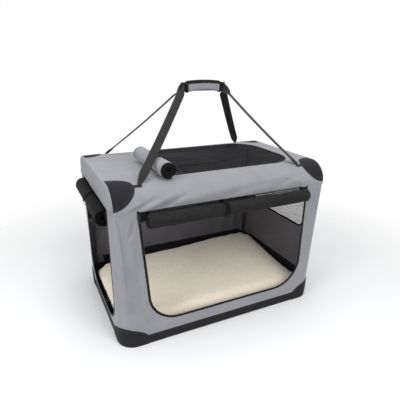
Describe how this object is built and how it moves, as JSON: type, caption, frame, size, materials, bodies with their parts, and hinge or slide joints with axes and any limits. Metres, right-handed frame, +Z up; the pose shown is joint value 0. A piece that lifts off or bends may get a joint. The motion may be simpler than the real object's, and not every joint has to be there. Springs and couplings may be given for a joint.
{
  "type": "soft folding dog crate",
  "caption": "Soft-sided folding dog crate: fabric cover on a folding steel frame, rolled-up doors, mesh windows, fleece mat and a padded carry handle.",
  "frame": {"origin": "middle of the underside, on the floor it stands on", "axes": "+X along the long side, towards the end with the window; -Y is the front with the wide doorway; +Z up"},
  "size_m": [0.8018, 0.5596, 0.8075],
  "materials": {
    "cover_cloth": "matt grey woven polyester, thinly foam backed",
    "handle_pad": "matt grey padded wrap",
    "guard_cloth": "charcoal coated cloth",
    "band_cloth": "charcoal cloth band",
    "floor_board": "dark coated base cloth",
    "binding_tape": "black binding tape",
    "webbing": "black woven webbing",
    "window_mesh": "black open mesh",
    "door_roll": "black mesh and lining, rolled",
    "flap_roll": "grey cloth flap, rolled",
    "tie_tape": "black tie tape",
    "frame_tube": "dark grey powder coat",
    "moulded_black": "matt black moulding",
    "button_grey": "grey moulding",
    "zip_metal": "black painted zip slider",
    "fleece": "cream fleece"
  },
  "bodies": {
    "base": {"floor_panel": "floor_board", "base_band": "band_cloth", "base_guard_front_left": "guard_cloth", "base_guard_front_right": "guard_cloth", "base_guard_rear_left": "guard_cloth", "base_guard_rear_right": "guard_cloth", "base_ring": "frame_tube", "base_clip_left": "moulded_black", "base_clip_right": "moulded_black", "fleece_mat": "fleece", "front_wall": "cover_cloth", "rear_wall": "cover_cloth", "left_wall": "cover_cloth", "right_wall": "cover_cloth", "front_door_binding": "binding_tape", "left_door_binding": "binding_tape", "rear_window_binding": "binding_tape", "rear_window_mesh": "window_mesh", "right_window_binding": "binding_tape", "right_window_mesh": "window_mesh"},
    "top": {"top_cover": "cover_cloth", "top_window_binding": "binding_tape", "top_window_mesh": "window_mesh", "top_guard_front_left": "guard_cloth", "top_guard_front_right": "guard_cloth", "top_guard_rear_left": "guard_cloth", "top_guard_rear_right": "guard_cloth", "strap_anchor_front_left": "webbing", "strap_anchor_front_right": "webbing", "strap_anchor_rear_left": "webbing", "strap_anchor_rear_right": "webbing", "front_door_roll": "door_roll", "left_door_roll": "door_roll", "top_flap_roll": "flap_roll", "front_roll_tie": "tie_tape", "left_roll_tie": "tie_tape", "top_roll_tie": "tie_tape", "top_rail_front": "frame_tube", "top_rail_rear": "frame_tube", "front_strap": "webbing", "rear_strap": "webbing"},
    "carry_handle": {"handle_wrap": "handle_pad"},
    "left_lower_link": {"left_lower_hoop": "frame_tube", "left_front_knee": "moulded_black", "left_rear_knee": "moulded_black"},
    "left_upper_link": {"left_upper_hoop": "frame_tube"},
    "right_lower_link": {"right_lower_hoop": "frame_tube", "right_front_knee": "moulded_black", "right_rear_knee": "moulded_black"},
    "right_upper_link": {"right_upper_hoop": "frame_tube"},
    "left_front_lock_button": {"left_front_lock_button": "button_grey"},
    "left_rear_lock_button": {"left_rear_lock_button": "button_grey"},
    "right_front_lock_button": {"right_front_lock_button": "button_grey"},
    "right_rear_lock_button": {"right_rear_lock_button": "button_grey"},
    "front_zip_slider_left": {"front_zip_slider_left": "zip_metal"},
    "front_zip_slider_right": {"front_zip_slider_right": "zip_metal"},
    "left_zip_slider_front": {"left_zip_slider_front": "zip_metal"},
    "left_zip_slider_rear": {"left_zip_slider_rear": "zip_metal"},
    "flap_zip_slider_front": {"flap_zip_slider_front": "zip_metal"},
    "flap_zip_slider_rear": {"flap_zip_slider_rear": "zip_metal"}
  },
  "joints": [
    {"name": "fold", "type": "hinge", "parent": "base", "child": "left_lower_link", "pos_m": [-0.3587, 0, 0.0218], "axis": [0, 1, 0], "range_deg": [0, 74], "deforming": ["front_wall", "rear_wall", "left_wall", "right_wall", "front_door_binding", "left_door_binding", "rear_window_binding", "rear_window_mesh", "right_window_binding", "right_window_mesh"]},
    {"name": "left_knee", "type": "hinge", "parent": "left_lower_link", "child": "left_upper_link", "pos_m": [-0.3707, 0, 0.27545], "axis": [0, 1, 0], "range_deg": [-148, 0]},
    {"name": "left_top_pivot", "type": "hinge", "parent": "left_upper_link", "child": "top", "pos_m": [-0.3587, 0, 0.5291], "axis": [0, 1, 0], "range_deg": [0, 74]},
    {"name": "right_fold", "type": "hinge", "parent": "base", "child": "right_lower_link", "pos_m": [0.3587, 0, 0.0218], "axis": [0, -1, 0], "range_deg": [0, 74]},
    {"name": "right_knee", "type": "hinge", "parent": "right_lower_link", "child": "right_upper_link", "pos_m": [0.3707, 0, 0.27545], "axis": [0, -1, 0], "range_deg": [-148, 0]},
    {"name": "handle_drop", "type": "slide", "parent": "top", "child": "carry_handle", "axis": [0, 0, 1], "range_m": [-0.05, 0], "deforming": ["front_strap", "rear_strap"]},
    {"name": "left_front_lock_press", "type": "slide", "parent": "left_lower_link", "child": "left_front_lock_button", "axis": [0, -1, 0], "range_m": [0, 0.002], "stiffness_N_per_m": 400},
    {"name": "left_rear_lock_press", "type": "slide", "parent": "left_lower_link", "child": "left_rear_lock_button", "axis": [0, 1, 0], "range_m": [0, 0.002], "stiffness_N_per_m": 400},
    {"name": "right_front_lock_press", "type": "slide", "parent": "right_lower_link", "child": "right_front_lock_button", "axis": [0, -1, 0], "range_m": [0, 0.002], "stiffness_N_per_m": 400},
    {"name": "right_rear_lock_press", "type": "slide", "parent": "right_lower_link", "child": "right_rear_lock_button", "axis": [0, 1, 0], "range_m": [0, 0.002], "stiffness_N_per_m": 400},
    {"name": "front_zip_slide_left", "type": "slide", "parent": "top", "child": "front_zip_slider_left", "axis": [-0.0744, 0, 0.9972], "range_m": [-0.24, 0]},
    {"name": "front_zip_slide_right", "type": "slide", "parent": "top", "child": "front_zip_slider_right", "axis": [0, 0, 1], "range_m": [-0.24, 0]},
    {"name": "left_zip_slide_front", "type": "slide", "parent": "top", "child": "left_zip_slider_front", "axis": [0, 0, 1], "range_m": [-0.24, 0]},
    {"name": "left_zip_slide_rear", "type": "slide", "parent": "top", "child": "left_zip_slider_rear", "axis": [0, 0, 1], "range_m": [-0.24, 0]},
    {"name": "flap_zip_slide_front", "type": "slide", "parent": "top", "child": "flap_zip_slider_front", "axis": [1, 0, 0], "range_m": [0, 0.34]},
    {"name": "flap_zip_slide_rear", "type": "slide", "parent": "top", "child": "flap_zip_slider_rear", "axis": [1, 0, 0], "range_m": [0, 0.34]}
  ],
  "couplings": [
    {"joint": "left_knee", "follows": "fold", "ratio": -2},
    {"joint": "left_top_pivot", "follows": "fold", "ratio": 1},
    {"joint": "right_fold", "follows": "fold", "ratio": 1},
    {"joint": "right_knee", "follows": "fold", "ratio": -2}
  ]
}
